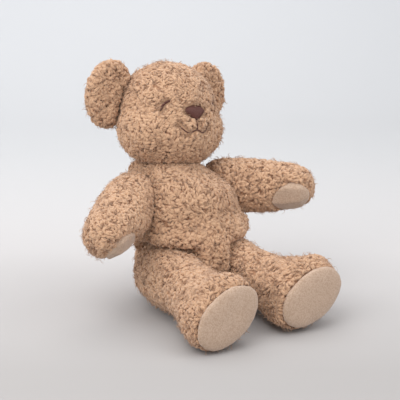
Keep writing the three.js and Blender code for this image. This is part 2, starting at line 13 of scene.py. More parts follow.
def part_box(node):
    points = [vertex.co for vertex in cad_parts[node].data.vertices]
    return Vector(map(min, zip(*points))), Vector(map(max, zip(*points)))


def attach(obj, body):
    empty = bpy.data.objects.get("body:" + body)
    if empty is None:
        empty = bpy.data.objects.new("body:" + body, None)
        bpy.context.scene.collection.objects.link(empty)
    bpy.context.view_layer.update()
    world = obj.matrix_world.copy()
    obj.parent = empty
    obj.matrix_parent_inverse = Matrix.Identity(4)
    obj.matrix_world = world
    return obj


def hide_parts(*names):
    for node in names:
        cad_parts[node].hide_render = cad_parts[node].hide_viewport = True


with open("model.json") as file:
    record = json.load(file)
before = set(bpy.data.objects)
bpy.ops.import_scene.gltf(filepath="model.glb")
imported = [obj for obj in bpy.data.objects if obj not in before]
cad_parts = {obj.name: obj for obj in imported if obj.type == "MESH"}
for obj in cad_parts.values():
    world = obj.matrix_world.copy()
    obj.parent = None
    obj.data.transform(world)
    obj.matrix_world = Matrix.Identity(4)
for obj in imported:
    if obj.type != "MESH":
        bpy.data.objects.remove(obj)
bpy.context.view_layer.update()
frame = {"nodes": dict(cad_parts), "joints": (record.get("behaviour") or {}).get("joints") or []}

MM = 0.001
SIDES = ("right", "left")
SEED = 7

# ---- Sizes that the looks share with the CAD part ----

JOINT_DEPTH = 7.85 * MM  # from the face where two covers meet back to the middle of the washer
HEAD_TILT = math.radians(7)
HEAD_YAW = math.radians(6)
HEAD_RISE = 48 * MM
HEAD_BACK = 15 * MM
NOSE_WIDTH = 24 * MM
NOSE_HEIGHT = 15 * MM
NOSE_RISE = 4 * MM
NOSE_STITCHES = 26
NOSE_DOME = 3.2 * MM
NOSE_THREAD = 0.52 * MM  # radius of a stitch
NOSE_WIDEST = 0.6  # share of the nose's height at which it is widest
MOUTH_STEM = 9 * MM
SMILE_HALF = 19 * MM
SMILE_DIP = 3.5 * MM
SMILE_LIFT = 3.5 * MM
EYE_APART = 26 * MM
EYE_RISE = 14 * MM
EYE_HALF = 8.5 * MM
EYE_ARCH = 10 * MM
STEM_WIDTH = 1.2 * MM  # widths of the twisted pairs of thread
SMILE_WIDTH = 1.1 * MM
EYE_WIDTH = 2.3 * MM
TWIST = 3.2 * MM  # length of one turn of a twisted pair
EYE_SHOWN = 0.44  # share of each eye's line that the pile leaves open, from its outer end

# ---- Plush ----

SKIN_VOXEL = 4.5 * MM
PAD_VOXEL = 1.6 * MM
PAD_WAVE = 0.5 * MM
SKIN_DEPTH = 1.6 * MM  # the pile's tops lie about this far inside the CAD cover
PUFF_CAP = 1.5 * MM  # most that the stuffing's pressure may move the cloth
CLUMP = 4.6 * MM  # size of a dimple between the roots of the pile
CLUMP_DEPTH = 1.6 * MM
CLUMP_STRETCH = np.array([0.62, 0.7, 1.15])  # dimples lie wider than they are tall
LOCK_LENGTH = 8.5 * MM  # a lock is a small fat curl of pile
LOCK_RADIUS = 1.75 * MM
LOCKS_PER_MM2 = 0.15
WISP_LENGTH = 6.5 * MM
WISP_RADIUS = 0.3 * MM
WISPS_PER_MM2 = 0.3
STRAY_SHARE = 0.12
LOCK_CLEAR = 4.2 * MM  # kept free of locks around the face's stitching, and the same for wisps
WISP_CLEAR = 2.5 * MM
FLOOR_GAP = 0.25 * MM
BELLY_DROP = 4.5 * MM  # how far the belly's underside settles onto the thighs
BELLY_LEVEL = (45 * MM, 56 * MM)  # the settling comes in between these heights
THIGH_SWELL = 3 * MM  # how far the thighs' tops swell up beside and under the belly
THIGH_BAND = (-75 * MM, -25 * MM)  # the swelling comes in between these distances along the leg
EAR_HOLLOW = 6 * MM  # how deep the front of each ear is dished
EAR_DISH = 0.85  # share of the ear's half size that the dish takes up
CLOSE_UP = 1.3 * MM  # how far the pile stands out towards the other part at a joint
CLOSE_REACH = 10 * MM
BARE_DEPTH = 3 * MM  # the faces of the joints carry no pile within this depth and radius
BARE_RADIUS = 17 * MM


def middle(node):
    low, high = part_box(node)
    return (low + high) / 2


def vec(*values):
    return Vector(values)


# ---- Arrays and meshes ----


def unit(v):
    return v / np.maximum(np.linalg.norm(v, axis=-1, keepdims=True), 1e-12)


def coords(mesh):
    co = np.empty(len(mesh.vertices) * 3, np.float32)
    mesh.vertices.foreach_get("co", co)
    return co.reshape(-1, 3).astype(float)


def normals(mesh):
    no = np.empty(len(mesh.vertices) * 3, np.float32)
    mesh.vertex_normals.foreach_get("vector", no)
    return no.reshape(-1, 3).astype(float)


def set_coords(mesh, co):
    mesh.vertices.foreach_set("co", np.ascontiguousarray(co, np.float32).ravel())
    mesh.update()


def edge_pairs(mesh):
    pairs = np.empty(len(mesh.edges) * 2, np.int32)
    mesh.edges.foreach_get("vertices", pairs)
    return pairs.reshape(-1, 2)


def mesh_from(name, points, faces, bake_uv=None):
    """A mesh from arrays. faces is a list of arrays, each of one kind of polygon."""
    mesh = bpy.data.meshes.new(name)
    mesh.vertices.add(len(points))
    loops = np.concatenate([f.ravel() for f in faces]).astype(np.int32)
    sizes = np.concatenate([np.full(len(f), f.shape[1]) for f in faces])
    starts = np.concatenate([[0], np.cumsum(sizes)[:-1]]).astype(np.int32)
    mesh.loops.add(len(loops))
    mesh.polygons.add(len(sizes))
    mesh.loops.foreach_set("vertex_index", loops)
    mesh.polygons.foreach_set("loop_start", starts)
    mesh.vertices.foreach_set("co", np.ascontiguousarray(points, np.float32).ravel())
    mesh.update(calc_edges=True)
    mesh.shade_smooth()
    if bake_uv is not None:
        add_bake_uv(mesh, bake_uv)
    return mesh


def add_bake_uv(mesh, per_vertex):
    loops = np.empty(len(mesh.loops), np.int32)
    mesh.loops.foreach_get("vertex_index", loops)
    layer = mesh.uv_layers.new(name="OFBake")
    layer.data.foreach_set("uv", np.ascontiguousarray(per_vertex[loops], np.float32).ravel())


def add_object(name, mesh, material, body):
    obj = bpy.data.objects.new(name, mesh)
    bpy.context.scene.collection.objects.link(obj)
    mesh.materials.clear()
    mesh.materials.append(material)
    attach(obj, body)
    return obj


def applied(obj):
    """The object's mesh with its modifiers applied, which take the place of the old one."""
    graph = bpy.context.evaluated_depsgraph_get()
    mesh = bpy.data.meshes.new_from_object(obj.evaluated_get(graph))
    obj.modifiers.clear()
    obj.data = mesh
    return mesh


# ---- Noise, computed for whole arrays ----


def hashed(cells, salt):
    """Three even random numbers for each whole-number cell."""
    c = cells.astype(np.int64)
    h = (c[..., 0] * 73856093) ^ (c[..., 1] * 19349663) ^ (c[..., 2] * 83492791) ^ (salt * 2654435761)
    out = []
    for k in range(3):
        h = (h ^ (h >> 13)) * 1274126177 + 12345 * (k + 1)
        h = h & 0x7FFFFFFF
        out.append((h % 65536) / 65536.0)
    return np.stack(out, -1)


def soft_noise(points, size, salt):
    """Smooth noise of three numbers from -1 to 1, with features of that size."""
    p = points / size
    base = np.floor(p)
    f = p - base
    f = f * f * (3 - 2 * f)
    total = np.zeros(points.shape)
    for corner in np.ndindex(2, 2, 2):
        c = np.array(corner)
        weight = np.prod(np.where(c == 1, f, 1 - f), axis=-1, keepdims=True)
        total += weight * (hashed(base + c, salt) * 2 - 1)
    return total


def cells_noise(points, salt):
    """Distances to the nearest and second nearest cell points, and a random number for the nearest cell."""
    base = np.floor(points)
    nearest = np.full(len(points), 9.0)
    second = np.full(len(points), 9.0)
    shade = np.zeros(len(points))
    for corner in np.ndindex(3, 3, 3):
        cell = base + np.array(corner) - 1
        random = hashed(cell, salt)
        gap = np.linalg.norm(cell + random - points, axis=-1)
        closer = gap < nearest
        second = np.where(closer, nearest, np.minimum(second, gap))
        shade = np.where(closer, random[:, 0], shade)
        nearest = np.where(closer, gap, nearest)
    return nearest, second, shade


def smooth_step(x, low, high):
    t = np.clip((x - low) / (high - low), 0, 1)
    return t * t * (3 - 2 * t)


# ---- Materials ----


def new_material(name, roughness, sheen=0.0):
    material = bpy.data.materials.new(name)
    material.use_nodes = True
    shader = material.node_tree.nodes["Principled BSDF"]
    shader.inputs["Roughness"].default_value = roughness
    shader.inputs["Specular IOR Level"].default_value = 0.25
    shader.inputs["Sheen Weight"].default_value = sheen
    shader.inputs["Sheen Roughness"].default_value = 0.6
    return material, material.node_tree, shader


def ramp_node(tree, source, stops):
    ramp = tree.nodes.new("ShaderNodeValToRGB")
    while len(ramp.color_ramp.elements) < len(stops):
        ramp.color_ramp.elements.new(0.5)
    for element, (place, colour) in zip(ramp.color_ramp.elements, stops):
        element.position = place
        element.color = (*colour, 1)
    tree.links.new(source, ramp.inputs["Fac"])
    return ramp.outputs["Color"]


def multiply(tree, a, b):
    mix = tree.nodes.new("ShaderNodeMix")
    mix.data_type = "RGBA"
    mix.blend_type = "MULTIPLY"
    mix.inputs["Factor"].default_value = 1
    tree.links.new(a, mix.inputs["A"])
    tree.links.new(b, mix.inputs["B"])
    return mix.outputs["Result"]


def linear(r, g, b):
    """Scene-linear colour from the 0 to 255 one."""
    return tuple(
        ((c / 255) + 0.055) ** 2.4 / 1.055**2.4 if c > 10 else c / 255 / 12.92
        for c in (r, g, b)
    )


def bake_axes(tree):
    uv = tree.nodes.new("ShaderNodeUVMap")
    uv.uv_map = "OFBake"
    split = tree.nodes.new("ShaderNodeSeparateXYZ")
    tree.links.new(uv.outputs["UV"], split.inputs["Vector"])
    return split.outputs["X"], split.outputs["Y"]


def pile_material(name, low, mid, high):
    """Pile, coloured by a tuft's own shade and by the height along it; the low end is painted shade at the
    roots, on the curls' undersides and in the dimples between clumps.
    """
    material, tree, shader = new_material(name, 0.85, sheen=0.25)
    shade, height = bake_axes(tree)
    # The height ramp paints shade: darkest at the low end, lightest at the top.
    along = ramp_node(tree, height, [(0.0, low), (0.45, mid), (1.0, high)])
    tint = ramp_node(tree, shade, [
        (0.0, (0.80, 0.74, 0.70)),
        (0.5, (0.95, 0.94, 0.93)),
        (1.0, (1.0, 1.0, 1.0)),
    ])
    tree.links.new(multiply(tree, along, tint), shader.inputs["Base Color"])
    return material


def knit_material(name, base, dark, scale):
    """Short-looped knit cloth: small soft loops in the bump, and in the colour as painted shade in the gaps
    between them.
    """
    material, tree, shader = new_material(name, 0.9, sheen=0.3)
    place = tree.nodes.new("ShaderNodeTexCoord")
    loops = tree.nodes.new("ShaderNodeTexVoronoi")
    loops.inputs["Scale"].default_value = scale
    tree.links.new(place.outputs["Object"], loops.inputs["Vector"])
    blotch = tree.nodes.new("ShaderNodeTexNoise")
    blotch.inputs["Scale"].default_value = scale / 12
    tree.links.new(place.outputs["Object"], blotch.inputs["Vector"])
    # Painted shade: the colour darkens towards the gaps between the loops, where the bump sinks.
    colour = ramp_node(tree, loops.outputs["Distance"], [(0.0, base), (0.75, dark)])
    tint = ramp_node(tree, blotch.outputs["Fac"], [(0.3, (0.93, 0.92, 0.9)), (0.7, (1, 1, 1))])
    tree.links.new(multiply(tree, colour, tint), shader.inputs["Base Color"])
    bump = tree.nodes.new("ShaderNodeBump")
    bump.invert = True
    bump.inputs["Strength"].default_value = 0.5
    bump.inputs["Distance"].default_value = 0.4 * MM
    tree.links.new(loops.outputs["Distance"], bump.inputs["Height"])
    tree.links.new(bump.outputs["Normal"], shader.inputs["Normal"])
    return material


def mottled_material(name, base, dark, scale, roughness, bump_depth):
    """A plain surface with a slight uneven tone and grain, for thread, moulded plastic and fibre."""
    material, tree, shader = new_material(name, roughness)
    place = tree.nodes.new("ShaderNodeTexCoord")
    grain = tree.nodes.new("ShaderNodeTexNoise")
    grain.inputs["Scale"].default_value = scale
    grain.inputs["Detail"].default_value = 4
    tree.links.new(place.outputs["Object"], grain.inputs["Vector"])
    colour = ramp_node(tree, grain.outputs["Fac"], [(0.3, dark), (0.7, base)])
    tree.links.new(colour, shader.inputs["Base Color"])
    bump = tree.nodes.new("ShaderNodeBump")
    bump.inputs["Strength"].default_value = 0.4
    bump.inputs["Distance"].default_value = bump_depth
    tree.links.new(grain.outputs["Fac"], bump.inputs["Height"])
    tree.links.new(bump.outputs["Normal"], shader.inputs["Normal"])
    return material


# Painted shade for the pile: the first colour is used at the roots, on the curls' undersides and in the
# dimples between clumps. The pile lightens through the middle colour to the curls' lit tops.
CREVICE_SHADE = linear(120, 76, 50)
FUR_MID = linear(178, 134, 102)
FUR_TOP = linear(198, 161, 129)
# Painted shade: the wisps are darker at their roots, lightening to their tips.
WISP_ROOT_SHADE = linear(166, 124, 95)
WISP_MID = linear(184, 144, 114)
WISP_TIP = linear(198, 163, 134)
KNIT = linear(196, 171, 150)
KNIT_GAP_SHADE = linear(172, 144, 122)
THREAD = linear(110, 70, 62)
THREAD_DARK = linear(76, 46, 41)
PLASTIC = linear(222, 221, 214)
PLASTIC_DARK = linear(208, 207, 200)
KNIT_SCALE = 700  # cells of the pattern in a metre, and the same for the two grains
THREAD_GRAIN = 1500
PLASTIC_GRAIN = 300
plush = pile_material("curled_plush", CREVICE_SHADE, FUR_MID, FUR_TOP)
wisp = pile_material("plush_wisps", WISP_ROOT_SHADE, WISP_MID, WISP_TIP)
pad_cloth = knit_material("pad_knit", KNIT, KNIT_GAP_SHADE, KNIT_SCALE)
dark_thread = mottled_material("dark_thread", THREAD, THREAD_DARK, THREAD_GRAIN, 0.38, 0.1 * MM)
plastic = mottled_material("moulded_plastic", PLASTIC, PLASTIC_DARK, PLASTIC_GRAIN, 0.45, 0.05 * MM)

# ---- Body parts: which CAD nodes each is made of, and the joints whose holes are closed in its skin ----

PLUG_RADIUS = 7 * MM
PLUG_INSET = 1.3 * MM  # how far a plug's place is moved in from the joint's face


def joint_face(name):
    """The middle of the face where two covers meet, and the joint's axis, towards the turning body."""
    joint = {j["child"]: j for j in frame["joints"]}[name]
    axis = Vector(joint["axis"]).normalized()
    washer = {"head": "neck_washer_disc"}.get(name)
    if washer is None:
        limb, side = name.split("_")
        washer = {"arm": "shoulder", "leg": "hip"}[limb] + f"_{side}_washer_disc"
        if axis.x * (-1 if side == "right" else 1) < 0:
            axis.negate()
    return middle(washer) + axis * JOINT_DEPTH, axis


LIMBS = ["head"] + [f"{limb}_{side}" for limb in ("arm", "leg") for side in SIDES]
FACES = {name: joint_face(name) for name in LIMBS}

PARTS = {
    "torso": {"body": "torso", "panels": [f"torso_{a}_{s}" for a in ("front", "back") for s in SIDES]},
    "head": {"body": "head", "panels": ["head_gusset", "head_side_right", "head_side_left"]},
}
for _side in SIDES:
    PARTS[f"ear_{_side}"] = {"body": "head", "panels": [f"ear_{_side}_{k}" for k in ("front", "back")]}
    for _limb in (f"arm_{_side}", f"leg_{_side}"):
        PARTS[_limb] = {"body": _limb, "panels": [f"{_limb}_{k}" for k in ("inner", "outer")]}
PADS = {f"arm_{s}": f"arm_{s}_paw_pad" for s in SIDES} | {f"leg_{s}": f"leg_{s}_sole_pad" for s in SIDES}


def add_plug(bm, centre, axis, inwards):
    """A short round bar that closes a joint's hole, from the face inwards."""
    turn = axis.to_track_quat("Z", "Y").to_matrix().to_4x4()
    place = Matrix.Translation(centre + axis * inwards * JOINT_DEPTH / 2) @ turn
    depth = JOINT_DEPTH + 2 * MM
    bmesh.ops.create_cone(bm, cap_ends=True, segments=16, radius1=PLUG_RADIUS, radius2=PLUG_RADIUS,
                          depth=depth, matrix=place)


def joined_solid(part):
    """The part's covers, stuffing and pad as one soup of closed shells."""
    nodes = PARTS[part]["panels"] + [f"{part}_stuffing"]
    if part in PADS:
        nodes.append(PADS[part])
    bm = bmesh.new()
    for node in nodes:
        bm.from_mesh(frame["nodes"][node].data)
    if part == "torso":
        for centre, axis in FACES.values():
            add_plug(bm, centre - axis * PLUG_INSET, axis, -1)
    elif part in FACES:
        centre, axis = FACES[part]
        add_plug(bm, centre + axis * PLUG_INSET, axis, 1)
    mesh = bpy.data.meshes.new(part)
    bm.to_mesh(mesh)
    bm.free()
    return mesh


def keep_largest(mesh):
    """Deletes every connected shell but the one with the most faces."""
    bm = bmesh.new()
    bm.from_mesh(mesh)
    left = set(bm.verts)
    shells = []
    while left:
        stack = [left.pop()]
        shell = set(stack)
        while stack:
            for edge in stack.pop().link_edges:
                for v in edge.verts:
                    if v not in shell:
                        shell.add(v)
                        stack.append(v)
        left -= shell
        shells.append(shell)
    shells.sort(key=len)
    for shell in shells[:-1]:
        bmesh.ops.delete(bm, geom=list(shell), context="VERTS")
    bm.to_mesh(mesh)
    bm.free()


def relax(mesh, rounds, amount=0.5):
    """Takes out the facets: points move towards their neighbours' mean, and back out a little less."""
    pairs = edge_pairs(mesh)
    co = coords(mesh)
    count = np.bincount(pairs.ravel(), minlength=len(co))[:, None]
    for i in range(rounds * 2):
        total = np.zeros_like(co)
        np.add.at(total, pairs[:, 0], co[pairs[:, 1]])
        np.add.at(total, pairs[:, 1], co[pairs[:, 0]])
        step = amount if i % 2 == 0 else -amount * 0.92
        co += (total / count - co) * step
    set_coords(mesh, co)


def puff(obj):
    """Cloth under the stuffing's pressure, with how far a point may move capped."""
    scene = bpy.context.scene
    rest = coords(obj.data)
    cloth = obj.modifiers.new("Cloth", "CLOTH")
    cloth.settings.quality = 4
    cloth.settings.use_pressure = True
    cloth.settings.uniform_pressure_force = 4
    cloth.settings.effector_weights.gravity = 0
    cloth.collision_settings.use_collision = False
    for number in range(1, 21):
        scene.frame_set(number)
    graph = bpy.context.evaluated_depsgraph_get()
    moved = coords(obj.evaluated_get(graph).to_mesh())
    obj.modifiers.clear()
    scene.frame_set(1)
    shift = moved - rest
    size = np.linalg.norm(shift, axis=1, keepdims=True)
    set_coords(obj.data, rest + shift * np.minimum(1, PUFF_CAP / np.maximum(size, 1e-9)))


def shaped(part, mesh):
    """The pile closed up at the joints, the belly's weight on the thighs, and the hollow in each ear."""
    points, no = coords(mesh), normals(mesh)
    for name, (centre, axis) in FACES.items():
        if part not in ("torso", name):
            continue
        way = np.array(axis) * (1 if part == "torso" else -1)
        along = (points - np.array(centre)) @ way
        radial = np.linalg.norm(points - np.array(centre) - np.outer(along, way), axis=1)
        close = smooth_step(-np.abs(along), -CLOSE_REACH, -2 * MM)
        close *= smooth_step(-radial, -60 * MM, -45 * MM)
        points += way * (close * CLOSE_UP)[:, None]
    if part == "torso":
        under = smooth_step(-no[:, 2], 0.35, 0.85) * smooth_step(points[:, 2], *BELLY_LEVEL)
        forward = smooth_step(-points[:, 1], -30 * MM, 25 * MM)
        points[:, 2] -= under * forward * BELLY_DROP
    if part.startswith("leg"):
        root = np.array(FACES[part][0])
        upwards = smooth_step(no[:, 2], 0.2, 0.8)
        near_hip = smooth_step(points[:, 1] - root[1], *THIGH_BAND)
        points[:, 2] += upwards * near_hip * THIGH_SWELL
    if part.startswith("ear"):
        local = head_coords(points)
        centre, half = local.mean(0), (local.max(0) - local.min(0)) / 2
        spread = np.linalg.norm((local - centre)[:, [0, 2]] / half[[0, 2]], axis=1)
        front = smooth_step(-(no @ np.array(head_turn))[:, 1], 0.1, 0.7)
        hollow = front * np.clip(1 - (spread / EAR_DISH) ** 2, 0, 1) * EAR_HOLLOW
        points -= np.array(FACING) * hollow[:, None]
    set_coords(mesh, points)


def skin_of(part):
    """The part's stuffed cloth bag, smooth, a little inside its CAD cover."""
    obj = bpy.data.objects.new(part + "_skin", joined_solid(part))
    bpy.context.scene.collection.objects.link(obj)
    remesh = obj.modifiers.new("Remesh", "REMESH")
    remesh.mode = "VOXEL"
    remesh.voxel_size = SKIN_VOXEL if not part.startswith("ear") else SKIN_VOXEL * 0.7
    mesh = applied(obj)
    keep_largest(mesh)
    relax(mesh, 6)
    set_coords(mesh, coords(mesh) - normals(mesh) * (SKIN_DEPTH + PUFF_CAP * 0.6))
    puff(obj)
    relax(obj.data, 2)
    shaped(part, obj.data)
    smooth = obj.modifiers.new("Subdivision", "SUBSURF")
    smooth.levels = smooth.render_levels = 2
    return obj, applied(obj)


# ---- Head frame ----

neck_centre = FACES["head"][0]
head_turn = Matrix.Rotation(HEAD_YAW, 3, "Z") @ Matrix.Rotation(HEAD_TILT, 3, "Y")


def in_head(x, y, z):
    """A point given from the skull's centre, in the head's own directions."""
    return head_turn @ Vector((x, y + HEAD_BACK, z + HEAD_RISE)) + neck_centre


def head_coords(points):
    """Points in the head's own directions from the skull's centre."""
    local = (points - np.array(neck_centre)) @ np.array(head_turn)
    return local - np.array([0, HEAD_BACK, HEAD_RISE])


FACING = head_turn @ Vector((0, -1, 0))


# ---- Where the pile is long, short or left out ----


def panel_trees(part):
    """A search tree for each of the part's panels and its pad."""
    names = PARTS[part]["panels"] + ([PADS[part]] if part in PADS else [])
    trees = {}
    for name in names:
        mesh = frame["nodes"][name].data
        mesh.calc_loop_triangles()
        points = [v.co for v in mesh.vertices]
        triangles = [tuple(t.vertices) for t in mesh.loop_triangles]
        trees[name] = BVHTree.FromPolygons(points, triangles)
    return trees


def panel_distances(part, points):
    """How far each point lies from each panel, with the panels' names."""
    trees = panel_trees(part)
    names = list(trees)
    gaps = np.empty((len(points), len(names)))
    for k, name in enumerate(names):
        find = trees[name].find_nearest
        gaps[:, k] = [find(p)[3] for p in points]
    return names, gaps


def curl_strength(part, points, no):
    """How deep the clumps are: full on the belly and cheeks, less on the brow, the arms and the legs."""
    strength = np.full(len(points), 1.0)
    if part == "head":
        local = head_coords(points)
        brow = smooth_step(local[:, 2], 2 * MM, 26 * MM)
        gusset = smooth_step(-np.abs(local[:, 0]), -20 * MM, -12 * MM)
        gusset *= smooth_step(local[:, 2], -6 * MM, 6 * MM)
        gusset *= smooth_step(-local[:, 1], 0, 20 * MM)
        strength -= 0.5 * np.maximum(brow, gusset)
    if part.startswith("arm"):
        side = -1 if part.endswith("right") else 1
        strength -= 0.25 * smooth_step(no[:, 0] * side + no[:, 2] * 0.6, 0.0, 0.9)
        strength -= 0.2
    if part == "torso":
        strength -= 0.35 * smooth_step(points[:, 2], 85 * MM, 125 * MM)
    if part.startswith("leg"):
        strength -= 0.4
    return np.clip(strength, 0.2, 1)


def pile_heights(part, points, no):
    """Displacement of the clumps from 0 to 1, a shade for each clump, and how strong they are."""
    warp = soft_noise(points, 9 * MM, 3) * 2.6 * MM + soft_noise(points, 4 * MM, 4) * 1.1 * MM
    p = (points + warp) / CLUMP * CLUMP_STRETCH
    near, second, shade = cells_noise(p, SEED)
    ridge = smooth_step(second - near, 0.0, 0.27)
    dome = 1 - 0.35 * np.clip(near, 0, 1) ** 2
    fine = soft_noise(points, 1.7 * MM, 9)[:, 0]
    height = ridge * dome * (0.92 + 0.08 * fine)
    broad = soft_noise(points, 30 * MM, 5)[:, 0] * 0.5 + soft_noise(points, 11 * MM, 6)[:, 1] * 0.5
    tone = np.clip(0.5 + 0.35 * broad + 0.35 * (shade - 0.5), 0, 1)
    return height, tone, curl_strength(part, points, no)


def keep_off_floor(points):
    points[:, 2] = np.maximum(points[:, 2], FLOOR_GAP)
    return points


# ---- Pile: fat locks and thin wisps over the clumps ----

WISP_RINGS = 5
WISP_SIDES = 3
LOCK_RINGS = 7
LOCK_SIDES = 6


def wisp_arrays(rng, roots, no, flow, length, radius, lift):
    """Points, faces and along-values of closed tapering strands, one for each root."""
    n = len(roots)
    side = unit(np.cross(no, flow))
    t = np.linspace(0, 1, WISP_RINGS + 1)[None, :, None]
    curl = rng.uniform(0.6, 1.3, (n, 1, 1)) * rng.choice([-1, 1], (n, 1, 1))
    phase = rng.uniform(0, 2 * math.pi, (n, 1, 1))
    turns = rng.uniform(0.6, 1.2, (n, 1, 1))
    size = length[:, None, None]
    ahead = size * (t - 0.12 * t * t) * 0.9
    sway = size * 0.2 * curl * (np.sin(2 * math.pi * turns * t + phase) - np.sin(phase)) * np.sqrt(t + 0.02)
    rise = lift[:, None, None] * np.sin(np.minimum(t * 2.2, 1.9))
    rise -= 0.5 * MM * (1 - t) * (t < 0.01)
    line = roots[:, None, :] + flow[:, None, :] * ahead + side[:, None, :] * sway + no[:, None, :] * rise
    tangent = unit(np.gradient(line, axis=1))
    across = unit(np.cross(tangent, no[:, None, :] + 0 * tangent))
    up = np.cross(across, tangent)
    width = radius[:, None, None] * (1 - 0.8 * t**1.5)
    angle = np.arange(WISP_SIDES) * 2 * math.pi / WISP_SIDES
    rings = []
    for a in angle:
        rings.append(line + width * (across * math.cos(a) + up * math.sin(a)))
    body = np.stack(rings, 2)[:, :WISP_RINGS]
    tip = line[:, WISP_RINGS][:, None, :]
    points = np.concatenate([body.reshape(n, -1, 3), tip], axis=1)
    per = WISP_RINGS * WISP_SIDES + 1
    first = (np.arange(n) * per)[:, None]
    quads = []
    for r in range(WISP_RINGS - 1):
        for s in range(WISP_SIDES):
            a = r * WISP_SIDES + s
            b = r * WISP_SIDES + (s + 1) % WISP_SIDES
            quads.append(first + np.array([a, b, b + WISP_SIDES, a + WISP_SIDES]))
    last = (WISP_RINGS - 1) * WISP_SIDES
    tris = [first + np.array([2, 1, 0])]
    for s in range(WISP_SIDES):
        tris.append(first + np.array([last + s, last + (s + 1) % WISP_SIDES, per - 1]))
    # Painted shade: the along-values make each wisp darker towards its root.
    along = 0.25 + 0.75 * np.append(np.repeat(np.linspace(0, 1, WISP_RINGS + 1)[:-1], WISP_SIDES), 1.0)
    return points, np.concatenate(quads), np.concatenate(tris), np.tile(along, (n, 1))


def lock_arrays(rng, roots, no, flow, length, radius, lift):
    """Points, faces and painted shade levels of closed fat curls, round at both ends, that arch over the
    backing: each curl is darker underneath and towards its ends.
    """
    n = len(roots)
    side = unit(np.cross(no, flow))
    t = np.linspace(0.03, 0.97, LOCK_RINGS)[None, :]
    bend = rng.uniform(0.9, 2.6, (n, 1)) * rng.choice([-1, 1], (n, 1))
    wave = rng.uniform(-0.8, 0.8, (n, 1))
    heading = bend * (t - 0.5) + wave * np.sin(2 * math.pi * t)
    step = length[:, None] / LOCK_RINGS
    ahead = np.cumsum(np.cos(heading) * step, axis=1)
    sway = np.cumsum(np.sin(heading) * step, axis=1)
    ahead -= ahead.mean(1, keepdims=True)
    sway -= sway.mean(1, keepdims=True)
    rise = lift[:, None] * (np.sin(math.pi * t) ** 0.8 * 1.7 - 0.7)
    line = (roots[:, None] + flow[:, None] * ahead[:, :, None] + side[:, None] * sway[:, :, None]
            + no[:, None] * rise[:, :, None])
    tangent = unit(np.gradient(line, axis=1))
    across = unit(np.cross(tangent, no[:, None] + 0 * tangent))
    up = np.cross(across, tangent)
    width = (radius[:, None] * np.sin(math.pi * t) ** 0.5)[:, :, None]
    angles = np.arange(LOCK_SIDES) * 2 * math.pi / LOCK_SIDES
    rings = [line + width * (across * math.cos(a) + up * math.sin(a)) for a in angles]
    points = np.stack(rings, 2).reshape(n, -1, 3)
    # Painted shade: each curl is lightest on its top and darker on its underside and towards its ends,
    # where it meets the backing.
    painted_shade_level = np.clip(0.5 + 0.5 * np.sin(angles)[None, None, :] * np.ones((n, LOCK_RINGS, 1)), 0, 1)
    painted_shade_level = 0.3 + 0.7 * painted_shade_level * (0.5 + 0.5 * np.sin(math.pi * t))[:, :, None]
    first = (np.arange(n) * LOCK_RINGS * LOCK_SIDES)[:, None]
    quads = []
    for r in range(LOCK_RINGS - 1):
        for s in range(LOCK_SIDES):
            a = r * LOCK_SIDES + s
            b = r * LOCK_SIDES + (s + 1) % LOCK_SIDES
            quads.append(first + np.array([a, b, b + LOCK_SIDES, a + LOCK_SIDES]))
    start = np.arange(LOCK_SIDES)
    caps = np.concatenate([first + start[::-1], first + (LOCK_RINGS - 1) * LOCK_SIDES + start])
    return points, np.concatenate(quads), caps, painted_shade_level.reshape(n, -1)


def sample_surface(rng, mesh, per_area):
    """Evenly spread random points on a mesh: places, normals, triangle corners and their weights."""
    mesh.calc_loop_triangles()
    tri = np.empty(len(mesh.loop_triangles) * 3, np.int32)
    mesh.loop_triangles.foreach_get("vertices", tri)
    tri = tri.reshape(-1, 3)
    co, no = coords(mesh), normals(mesh)
    first, second, third = co[tri[:, 0]], co[tri[:, 1]], co[tri[:, 2]]
    area = np.linalg.norm(np.cross(second - first, third - first), axis=1) / 2
    chosen = rng.choice(len(tri), int(area.sum() * per_area), p=area / area.sum())
    a, b = rng.random((2, len(chosen)))
    flip = a + b > 1
    a, b = np.where(flip, 1 - a, a), np.where(flip, 1 - b, b)
    weights = np.stack([1 - a - b, a, b], 1)[:, :, None]
    corners = tri[chosen]
    places = (co[corners] * weights).sum(1)
    return places, unit((no[corners] * weights).sum(1)), corners, weights[:, :, 0]


def flow_of(rng, roots, no, down, jitter):
    """Which way the pile lies: downwards, pushed about by noise."""
    drift = soft_noise(roots, 9 * MM, 11) * 1.2 + soft_noise(roots, 4 * MM, 12) * 0.6
    flow = np.array([0, 0, -down]) + drift * np.array([1, 1, 0.6]) + rng.normal(0, jitter, roots.shape)
    return unit(flow - (flow * no).sum(1, keepdims=True) * no)


